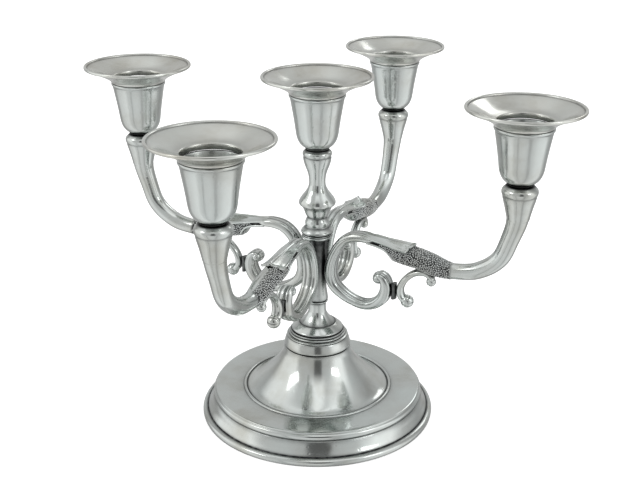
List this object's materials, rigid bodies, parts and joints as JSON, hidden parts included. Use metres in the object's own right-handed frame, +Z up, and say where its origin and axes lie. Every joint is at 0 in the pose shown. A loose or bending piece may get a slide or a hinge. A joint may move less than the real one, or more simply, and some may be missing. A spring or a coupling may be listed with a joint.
{
  "type": "tabletop candelabra",
  "caption": "Polished pewter tabletop candelabra: turned round foot, knopped stem, scroll arms with leaf and textured tubes, flared drip pans over tapered candle cups.",
  "frame": {"origin": "middle of the foot, on the table", "axes": "+Z up the column, +X and +Y along two of the four arms"},
  "size_m": [0.246, 0.246, 0.171],
  "materials": {
    "pewter": "polished",
    "satin_pewter": "satin",
    "steel": "satin"
  },
  "bodies": {
    "column": {"foot": "pewter", "foot_nut": "steel", "foot_washer": "steel", "tie_rod": "steel", "base_ring": "pewter", "lower_stem": "pewter", "arm_hub": "pewter", "ring_collar": "pewter", "upper_stem": "pewter", "arm_px": "pewter", "ornament_px": "pewter", "dowel_px": "steel", "arm_py": "pewter", "ornament_py": "pewter", "dowel_py": "steel", "arm_nx": "pewter", "ornament_nx": "pewter", "dowel_nx": "steel", "arm_ny": "pewter", "ornament_ny": "pewter", "dowel_ny": "steel"},
    "centre_stud_body": {"centre_stud": "steel"},
    "centre_cup_body": {"centre_cup": "pewter", "centre_pan": "satin_pewter"},
    "px_stud_body": {"px_stud": "steel"},
    "px_cup_body": {"px_cup": "pewter", "px_pan": "satin_pewter"},
    "py_stud_body": {"py_stud": "steel"},
    "py_cup_body": {"py_cup": "pewter", "py_pan": "satin_pewter"},
    "nx_stud_body": {"nx_stud": "steel"},
    "nx_cup_body": {"nx_cup": "pewter", "nx_pan": "satin_pewter"},
    "ny_stud_body": {"ny_stud": "steel"},
    "ny_cup_body": {"ny_cup": "pewter", "ny_pan": "satin_pewter"}
  },
  "joints": [
    {"name": "centre_cup_lift", "type": "slide", "parent": "column", "child": "centre_stud_body", "axis": [0, 0, 1], "range_m": [0, 0.004]},
    {"name": "centre_cup_turn", "type": "hinge", "parent": "centre_stud_body", "child": "centre_cup_body", "pos_m": [0, 0, 0.1362], "axis": [0, 0, 1], "range_deg": [0, 1440]},
    {"name": "px_cup_lift", "type": "slide", "parent": "column", "child": "px_stud_body", "axis": [0, 0, 1], "range_m": [0, 0.004]},
    {"name": "px_cup_turn", "type": "hinge", "parent": "px_stud_body", "child": "px_cup_body", "pos_m": [0.097, 0, 0.1322], "axis": [0, 0, 1], "range_deg": [0, 1440]},
    {"name": "py_cup_lift", "type": "slide", "parent": "column", "child": "py_stud_body", "axis": [0, 0, 1], "range_m": [0, 0.004]},
    {"name": "py_cup_turn", "type": "hinge", "parent": "py_stud_body", "child": "py_cup_body", "pos_m": [0, 0.097, 0.1322], "axis": [0, 0, 1], "range_deg": [0, 1440]},
    {"name": "nx_cup_lift", "type": "slide", "parent": "column", "child": "nx_stud_body", "axis": [0, 0, 1], "range_m": [0, 0.004]},
    {"name": "nx_cup_turn", "type": "hinge", "parent": "nx_stud_body", "child": "nx_cup_body", "pos_m": [-0.097, 0, 0.1322], "axis": [0, 0, 1], "range_deg": [0, 1440]},
    {"name": "ny_cup_lift", "type": "slide", "parent": "column", "child": "ny_stud_body", "axis": [0, 0, 1], "range_m": [0, 0.004]},
    {"name": "ny_cup_turn", "type": "hinge", "parent": "ny_stud_body", "child": "ny_cup_body", "pos_m": [0, -0.097, 0.1322], "axis": [0, 0, 1], "range_deg": [0, 1440]}
  ],
  "couplings": [
    {"joint": "centre_cup_turn", "follows": "centre_cup_lift", "rad_per_m": 6283.2},
    {"joint": "px_cup_turn", "follows": "px_cup_lift", "rad_per_m": 6283.2},
    {"joint": "py_cup_turn", "follows": "py_cup_lift", "rad_per_m": 6283.2},
    {"joint": "nx_cup_turn", "follows": "nx_cup_lift", "rad_per_m": 6283.2},
    {"joint": "ny_cup_turn", "follows": "ny_cup_lift", "rad_per_m": 6283.2}
  ]
}
